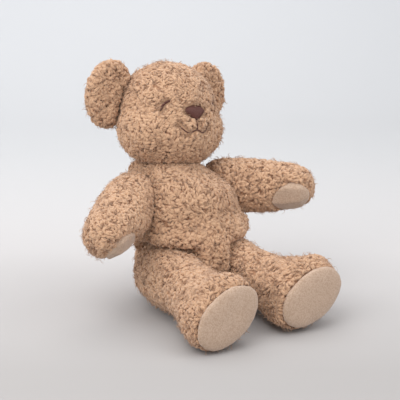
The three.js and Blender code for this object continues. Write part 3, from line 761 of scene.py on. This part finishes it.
def add_pile(part, mesh, shade, strength, gaps, names):
    """Fat locks and thin wisps over a part's backing, one piece of each for every sewn panel."""
    rng = np.random.default_rng(SEED + len(part))
    for kind, density in (("locks", LOCKS_PER_MM2), ("wisps", WISPS_PER_MM2)):
        roots, no, corners, weights = sample_surface(rng, mesh, density / MM**2)
        tone, curl = (shade[corners] * weights).sum(1), (strength[corners] * weights).sum(1)
        gap = (gaps[corners] * weights[:, :, None]).sum(1)
        owner = gap.argmin(1)
        count = len(roots)
        keep = pile_mask(part, roots, LOCK_CLEAR if kind == "locks" else WISP_CLEAR)
        if kind == "locks":
            flow = flow_of(rng, roots, no, 0.2, 0.35)
            length = LOCK_LENGTH * rng.uniform(0.65, 1.2, count)
            radius = LOCK_RADIUS * rng.uniform(0.7, 1.15, count) * (0.6 + 0.4 * curl)
            lift = rng.uniform(0.7, 1.5, count) * MM * (0.5 + 0.5 * curl)
        else:
            flow = flow_of(rng, roots, no, 0.3, 0.0)
            stray = rng.random(count) < STRAY_SHARE
            length = WISP_LENGTH * rng.uniform(0.6, 1.25, count) + stray * 2 * MM
            radius = WISP_RADIUS * rng.uniform(0.7, 1.2, count)
            lift = (rng.uniform(0.9, 2.2, count) + stray * rng.uniform(0.6, 3.4, count)) * MM
        own_tone = np.clip(tone + rng.normal(0, 0.1, count), 0, 1)
        for k, name in enumerate(names):
            if name in PADS.values():
                continue
            mine = keep & (owner == k)
            build = lock_arrays if kind == "locks" else wisp_arrays
            points, body, ends, painted_shade_level = build(
                rng, roots[mine], no[mine], flow[mine], length[mine], radius[mine], lift[mine]
            )
            uv = np.stack([np.repeat(own_tone[mine], painted_shade_level.shape[1]), painted_shade_level.ravel()], 1)
            flat = keep_off_floor(points.reshape(-1, 3))
            piece_name = f"{name}_{kind}"
            piece = add_object(piece_name, mesh_from(piece_name, flat, [body, ends], uv),
                               plush if kind == "locks" else wisp, PARTS[part]["body"])
            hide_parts(name)


def pile_mask(part, roots, clear):
    """Where the pile grows: clear of the face's stitching and off the faces of the joints."""
    keep = np.ones(len(roots), bool)
    for name, (centre, axis) in FACES.items():
        if name == part or part == "torso":
            offset = roots - np.array(centre)
            along = offset @ np.array(axis)
            radial = np.linalg.norm(offset - np.outer(along, np.array(axis)), axis=1)
            keep &= ~((np.abs(along) < BARE_DEPTH) & (radial < BARE_RADIUS))
    if part == "head":
        keep &= ~near_face(roots, clear)
    return keep


# ---- Face lines, in the head's own x and z from the skull's centre ----


def spline(points, steps):
    """A smooth line through points, as a Catmull-Rom curve."""
    p = [np.array(points[0]) * 2 - np.array(points[1])] + [np.array(q) for q in points]
    p.append(p[-1] * 2 - p[-2])
    out = []
    for i in range(1, len(p) - 2):
        for k in range(steps):
            t = k / steps
            out.append(0.5 * (2 * p[i] + (p[i + 1] - p[i - 1]) * t
                              + (2 * p[i - 1] - 5 * p[i] + 4 * p[i + 1] - p[i + 2]) * t * t
                              + (3 * p[i] - p[i - 1] - 3 * p[i + 1] + p[i + 2]) * t**3))
    out.append(p[-2])
    return np.array(out)


MOUTH_TOP = NOSE_RISE - NOSE_HEIGHT / 2
FORK = MOUTH_TOP - MOUTH_STEM
STEM_LINE = np.array([(0, MOUTH_TOP + 1 * MM - k * (MOUTH_STEM + 1 * MM) / 6) for k in range(7)])
SMILE_LINE = spline([
    (-SMILE_HALF, FORK + SMILE_LIFT),
    (-SMILE_HALF / 2, FORK - SMILE_DIP),
    (0, FORK),
    (SMILE_HALF / 2, FORK - SMILE_DIP),
    (SMILE_HALF, FORK + SMILE_LIFT),
], 8)


def eye_line(side):
    centre = (-1 if side == "right" else 1) * EYE_APART
    return spline([
        (centre - EYE_HALF, EYE_RISE - EYE_ARCH),
        (centre - EYE_HALF * 0.6, EYE_RISE - EYE_ARCH * 0.28),
        (centre, EYE_RISE),
        (centre + EYE_HALF * 0.6, EYE_RISE - EYE_ARCH * 0.28),
        (centre + EYE_HALF, EYE_RISE - EYE_ARCH),
    ], 6)


def open_part(side):
    """The outer part of an eye's line, which the pile leaves open."""
    line = eye_line(side)
    if side == "right":
        return line[: int(len(line) * EYE_SHOWN)]
    return line[int(len(line) * (1 - EYE_SHOWN)):]


LINES = [STEM_LINE, SMILE_LINE, open_part("right"), open_part("left")]


def nose_half(z):
    """Half the nose's width at a height above its middle: round on top, drawn in to a point below."""
    t = np.clip((z / (NOSE_HEIGHT / 2) + 1) / 2, 0, 1)
    above = np.sqrt(np.clip(1 - ((t - NOSE_WIDEST) / (1 - NOSE_WIDEST)) ** 2, 0, 1))
    below = np.sin(math.pi / 2 * np.clip(t / NOSE_WIDEST, 0, 1)) ** 0.9
    return NOSE_WIDTH / 2 * np.where(t > NOSE_WIDEST, above, below)


def near_face(points, margin):
    """True for points on the front of the head within margin of a stitched line or of the nose."""
    local = head_coords(points)
    flat = local[:, [0, 2]]
    near = np.zeros(len(points), bool)
    for line in LINES:
        for p in line:
            near |= np.linalg.norm(flat - p, axis=1) < margin
    z = flat[:, 1] - NOSE_RISE
    inside = (np.abs(z) < NOSE_HEIGHT / 2 + margin) & (np.abs(flat[:, 0]) < nose_half(z) + margin)
    return (near | inside) & (local[:, 1] < 0)


# ---- Plush parts ----


def add_plush(part):
    """The part's cloth bag, dimpled between the clumps, with its pile on it."""
    obj, mesh = skin_of(part)
    base, no = coords(mesh), normals(mesh)
    names, gaps = panel_distances(part, base)
    order = np.sort(gaps, axis=1)
    seam = 1 - smooth_step(order[:, 1] - order[:, 0], 0.4 * MM, 2.2 * MM)
    height, shade, strength = pile_heights(part, base, no)
    if part in PADS:
        pad = gaps[:, names.index(PADS[part])]
        near_pad = 1 - smooth_step(pad, 0.5 * MM, 3.5 * MM)
    else:
        near_pad = np.zeros(len(base))
    rise = (height - 0.75) * CLUMP_DEPTH * strength
    if part == "head":
        quiet = near_face(base, 2.2 * MM)
        rise = np.where(quiet, -1.0 * MM, rise)
    rise = rise * (1 - near_pad) - near_pad * 1.5 * MM - seam * 0.5 * MM
    points = keep_off_floor(base + no * rise[:, None])
    set_coords(mesh, points)
    # Painted shade on the backing: darker in the dimples between the clumps and in the seams, lighter where
    # the clumps are shallow and round the face's stitching.
    tone = np.clip(0.15 + 0.4 * height + 0.4 * (1 - strength) - seam * 0.1, 0, 1)
    if part == "head":
        tone = np.where(near_face(base, LOCK_CLEAR + 1 * MM), 0.85, tone)
    add_bake_uv(mesh, np.stack([shade, tone], 1))
    mesh.shade_smooth()
    mesh.materials.clear()
    mesh.materials.append(plush)
    obj.name = part + "_plush"
    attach(obj, PARTS[part]["body"])
    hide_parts(f"{part}_stuffing", *PARTS[part]["panels"])
    add_pile(part, mesh, shade, strength, gaps, names)
    return obj


plush_pieces = {part: add_plush(part) for part in PARTS}

# ---- Pads ----


def add_pad(part, node):
    """A smooth knit pad let into the pile, crowned by the stuffing behind it."""
    obj = bpy.data.objects.new(node + "_cloth", frame["nodes"][node].data.copy())
    bpy.context.scene.collection.objects.link(obj)
    remesh = obj.modifiers.new("Remesh", "REMESH")
    remesh.mode = "VOXEL"
    remesh.voxel_size = PAD_VOXEL
    mesh = applied(obj)
    keep_largest(mesh)
    relax(mesh, 5)
    smooth = obj.modifiers.new("Subdivision", "SUBSURF")
    smooth.levels = smooth.render_levels = 1
    mesh = applied(obj)
    points, no = coords(mesh), normals(mesh)
    wave = soft_noise(points, 14 * MM, 21)[:, 0] * PAD_WAVE
    set_coords(mesh, keep_off_floor(points + no * wave[:, None]))
    mesh.shade_smooth()
    mesh.materials.clear()
    mesh.materials.append(pad_cloth)
    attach(obj, part)
    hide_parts(node)


for _part, _node in PADS.items():
    add_pad(_part, _node)

# ---- Stitched face ----


def tube(line, radius, sides=6):
    """A closed round tube along a line of points, narrower at both ends."""
    line = np.array(line, float)
    tangent = unit(np.gradient(line, axis=0))
    across = unit(np.cross(tangent, np.array(FACING)))
    up = np.cross(across, tangent)
    t = np.linspace(0, 1, len(line))
    width = radius * np.minimum(1, np.sqrt(np.minimum(t, 1 - t) * 8 + 0.12))[:, None]
    angles = np.arange(sides) * 2 * math.pi / sides
    rings = [line + width * (across * math.cos(a) + up * math.sin(a)) for a in angles]
    points = np.stack(rings, 1).reshape(-1, 3)
    quads = []
    for r in range(len(line) - 1):
        for s in range(sides):
            a, b = r * sides + s, r * sides + (s + 1) % sides
            quads.append((a, b, b + sides, a + sides))
    ends = [tuple(range(sides))[::-1], tuple(range(len(points) - sides, len(points)))]
    return points, quads, ends


def tubes_mesh(name, tubes):
    points, quads, ends, count = [], [], [], 0
    for p, q, e in tubes:
        points.append(p)
        quads.append(np.array(q) + count)
        ends.append(np.array(e) + count)
        count += len(p)
    return mesh_from(name, np.concatenate(points), [np.concatenate(quads), np.concatenate(ends)])


head_tree = BVHTree.FromObject(plush_pieces["head"], bpy.context.evaluated_depsgraph_get())


RAY_START = 150 * MM  # in front of the face


def on_face(x, z, proud):
    """The point of the head's front at x, z, raised by proud."""
    start = in_head(x, -RAY_START, z)
    hit, no, _, _ = head_tree.ray_cast(start, -FACING)
    return np.array((hit if hit is not None else in_head(x, 0, z)) + FACING * proud)


def settled(line, proud, rounds=3):
    """A line laid on the face, evened out so that it doesn't follow each tuft."""
    heights = np.broadcast_to(proud, len(line))
    points = np.array([on_face(x, z, height) for (x, z), height in zip(line, heights)])
    for _ in range(rounds):
        points[1:-1] = (points[:-2] + 2 * points[1:-1] + points[2:]) / 4
    return points


def stitched_line(line, proud, width):
    """A twisted pair of threads along a line."""
    middle_line = settled(line, proud)
    tangent = unit(np.gradient(middle_line, axis=0))
    across = unit(np.cross(tangent, np.array(FACING)))
    steps = np.linspace(0, len(middle_line) - 1, (len(middle_line) - 1) * 4 + 1)
    index = np.arange(len(middle_line))
    dense = np.stack([np.interp(steps, index, middle_line[:, k]) for k in range(3)], 1)
    side = np.stack([np.interp(steps, index, across[:, k]) for k in range(3)], 1)
    reach = np.concatenate([[0], np.cumsum(np.linalg.norm(np.diff(dense, axis=0), axis=1))])
    turn = reach / TWIST * 2 * math.pi
    out = np.array(FACING)[None, :]
    tubes = []
    for start in (0, math.pi):
        wave = side * (np.cos(turn + start) * width * 0.28)[:, None]
        wave = wave + out * (np.sin(turn + start) * width * 0.22)[:, None]
        tubes.append(tube(dense + wave, width * 0.34))
    return tubes


def satin_nose():
    """Upright satin stitches side by side over a small dome."""
    tubes = []
    for k in range(NOSE_STITCHES):
        x = NOSE_WIDTH / 2 * (2 * (k + 0.5) / NOSE_STITCHES - 1)
        heights = np.linspace(-NOSE_HEIGHT / 2, NOSE_HEIGHT / 2, 60)
        inside = heights[nose_half(heights) > abs(x)]
        if len(inside) < 3:
            continue
        z = np.linspace(inside[0], inside[-1], 9)
        bulge = np.sqrt(np.clip(1 - (x / (NOSE_WIDTH * 0.56)) ** 2, 0, 1))
        crown = np.sin(np.linspace(0, math.pi, 9)) ** 0.6 * NOSE_DOME * bulge
        line = []
        for zz, c in zip(z, crown):
            p = on_face(x, zz + NOSE_RISE, 0)
            line.append(p + np.array(FACING) * (c + 0.4 * MM))
        line = np.array(line)
        for _ in range(4):
            line[1:-1] = (line[:-2] + 2 * line[1:-1] + line[2:]) / 4
        tubes.append(tube(line, NOSE_THREAD))
    return tubes


nose_mesh = tubes_mesh("nose_stitches", satin_nose())
nose_piece = add_object("nose_stitches", nose_mesh, dark_thread, "head")
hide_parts("nose")
mouth_stem = stitched_line(STEM_LINE, 0.8 * MM, STEM_WIDTH)
smile = stitched_line(SMILE_LINE, 0.6 * MM, SMILE_WIDTH)
mouth_mesh = tubes_mesh("mouth_stitches", mouth_stem + smile)
mouth_piece = add_object("mouth_stitches", mouth_mesh, dark_thread, "head")
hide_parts("mouth")
for _side in SIDES:
    _open = np.linspace(0, 1, len(eye_line(_side)))
    if _side == "left":
        _open = 1 - _open
    _proud = (1.2 - 3.2 * smooth_step(_open, EYE_SHOWN - 0.1, EYE_SHOWN + 0.15)) * MM
    _name = f"eye_{_side}_stitches"
    eye_mesh = tubes_mesh(_name, stitched_line(eye_line(_side), _proud, EYE_WIDTH))
    eye = add_object(_name, eye_mesh, dark_thread, "head")
    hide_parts(f"eye_{_side}")

# ---- Joint hardware keeps its CAD shape ----

for _name, _node in frame["nodes"].items():
    if _name.endswith(("_disc", "_lock_ring")):
        _node.data.materials.clear()
        _node.data.materials.append(plastic)

# ---- Stage, light and camera ----


# Share of the sweep's length, from its front edge to the top of its wall, and the colour there: pale paper
# with painted light and shade, dark round the object and lighter far in front and up the wall
SWEEP_PAINTED_LIGHT = [
    (0.0, (0.92, 0.91, 0.90)),
    (0.40, (0.85, 0.84, 0.83)),
    (0.52, (0.47, 0.45, 0.44)),
    (0.565, (0.44, 0.42, 0.41)),
    (0.602, (0.61, 0.59, 0.585)),
    (0.653, (0.575, 0.575, 0.58)),
    (0.76, (0.59, 0.60, 0.62)),
    (0.874, (0.80, 0.81, 0.83)),
    (1.0, (0.86, 0.87, 0.89)),
]


def stage_material():
    """Pale paper with painted light and shade: darker round the object, lighter far in front, up the wall
    and towards the left.
    """
    material, tree, shader = new_material("paper_sweep", 0.9)
    across, away = bake_axes(tree)
    rise = ramp_node(tree, away, SWEEP_PAINTED_LIGHT)
    # Painted light: the paper is lighter towards the left and darker towards the right.
    painted_side_light = ramp_node(tree, across, [(0.38, (1.0, 1.0, 1.0)), (0.62, (0.78, 0.78, 0.78))])
    tree.links.new(multiply(tree, rise, painted_side_light), shader.inputs["Base Color"])
    return material


def add_sweep():
    """A pale paper sweep: floor, curve and wall."""
    front, back, height = -6.0, 1.6, 3.0
    bend, width = 0.7, 5.0
    profile = [(front, 0.0), (back - bend, 0.0)]
    for k in range(1, 17):
        a = k / 16 * math.pi / 2
        profile.append((back - bend + bend * math.sin(a), bend - bend * math.cos(a)))
    profile.append((back, height))
    view = math.radians(CAMERA_AZIMUTH)
    away = np.array([-math.sin(view), math.cos(view), 0])
    right = np.array([math.cos(view), math.sin(view), 0])
    n = len(profile)
    path = np.array(profile)
    reach = np.concatenate([[0], np.cumsum(np.linalg.norm(np.diff(path, axis=0), axis=1))])
    points, uv = [], []
    for side in (-1, 1):
        points += [away * y + right * side * width + np.array([0, 0, z]) for y, z in profile]
        uv += [((side + 1) / 2, length / reach[-1]) for length in reach]
    quads = np.array([(k, k + n, k + n + 1, k + 1) for k in range(n - 1)])
    mesh = mesh_from("paper_sweep", np.array(points), [quads], np.array(uv))
    sweep = bpy.data.objects.new("paper_sweep", mesh)
    sweep.data.materials.append(stage_material())
    bpy.context.scene.collection.objects.link(sweep)


# Name, place, the point it faces, width in metres and power in watts
LIGHTS = [
    ("key", vec(-1.1, -0.5, 1.4), vec(0, 0, 0.1), 1.6, 20),
    ("fill", vec(0.7, -1.2, 1.0), vec(0, 0, 0.1), 1.4, 9),
    ("low", vec(-1.4, 0.2, 0.5), vec(0, 0, 0.05), 1.2, 3.2),
    ("wall", vec(0.27, 0.42, 1.3), vec(0.87, 1.34, 0.7), 1.2, 6.5),
    ("top", vec(0.1, 0.5, 1.9), vec(0, 0, 0.1), 1.8, 12),
]


def add_light(name, place, target, size, power):
    data = bpy.data.lights.new(name, "AREA")
    data.shape = "DISK"
    data.size = size
    data.energy = power
    obj = bpy.data.objects.new(name, data)
    obj.location = place
    obj.rotation_euler = (target - place).to_track_quat("-Z", "Y").to_euler()
    bpy.context.scene.collection.objects.link(obj)


CAMERA_AZIMUTH = -33
CAMERA_ELEVATION = 15
CAMERA_DISTANCE = 1.3
CAMERA_LENS = 117  # millimetres, as is the sensor's width
CAMERA_SENSOR = 36
WORLD_COLOUR = (0.95, 0.97, 1.0, 1)
WORLD_STRENGTH = 0.75
hips = (middle("hip_right_washer_disc") + middle("hip_left_washer_disc")) / 2
aim = hips + vec(-4, -25, 79) * MM

camera_data = bpy.data.cameras.new("camera")
camera_data.lens = CAMERA_LENS
camera_data.sensor_width = CAMERA_SENSOR
camera = bpy.data.objects.new("camera", camera_data)
_a, _e = math.radians(CAMERA_AZIMUTH), math.radians(CAMERA_ELEVATION)
camera_back = vec(math.sin(_a) * math.cos(_e), -math.cos(_a) * math.cos(_e), math.sin(_e))
camera.location = aim + camera_back * CAMERA_DISTANCE
camera.rotation_euler = (-camera_back).to_track_quat("-Z", "Y").to_euler()
bpy.context.scene.collection.objects.link(camera)
bpy.context.scene.camera = camera

add_sweep()
for _light in LIGHTS:
    add_light(*_light)

world = bpy.data.worlds.new("studio")
bpy.context.scene.world = world
world.use_nodes = True
world.node_tree.nodes["Background"].inputs["Color"].default_value = WORLD_COLOUR
world.node_tree.nodes["Background"].inputs["Strength"].default_value = WORLD_STRENGTH
bpy.context.scene.view_settings.view_transform = "Standard"
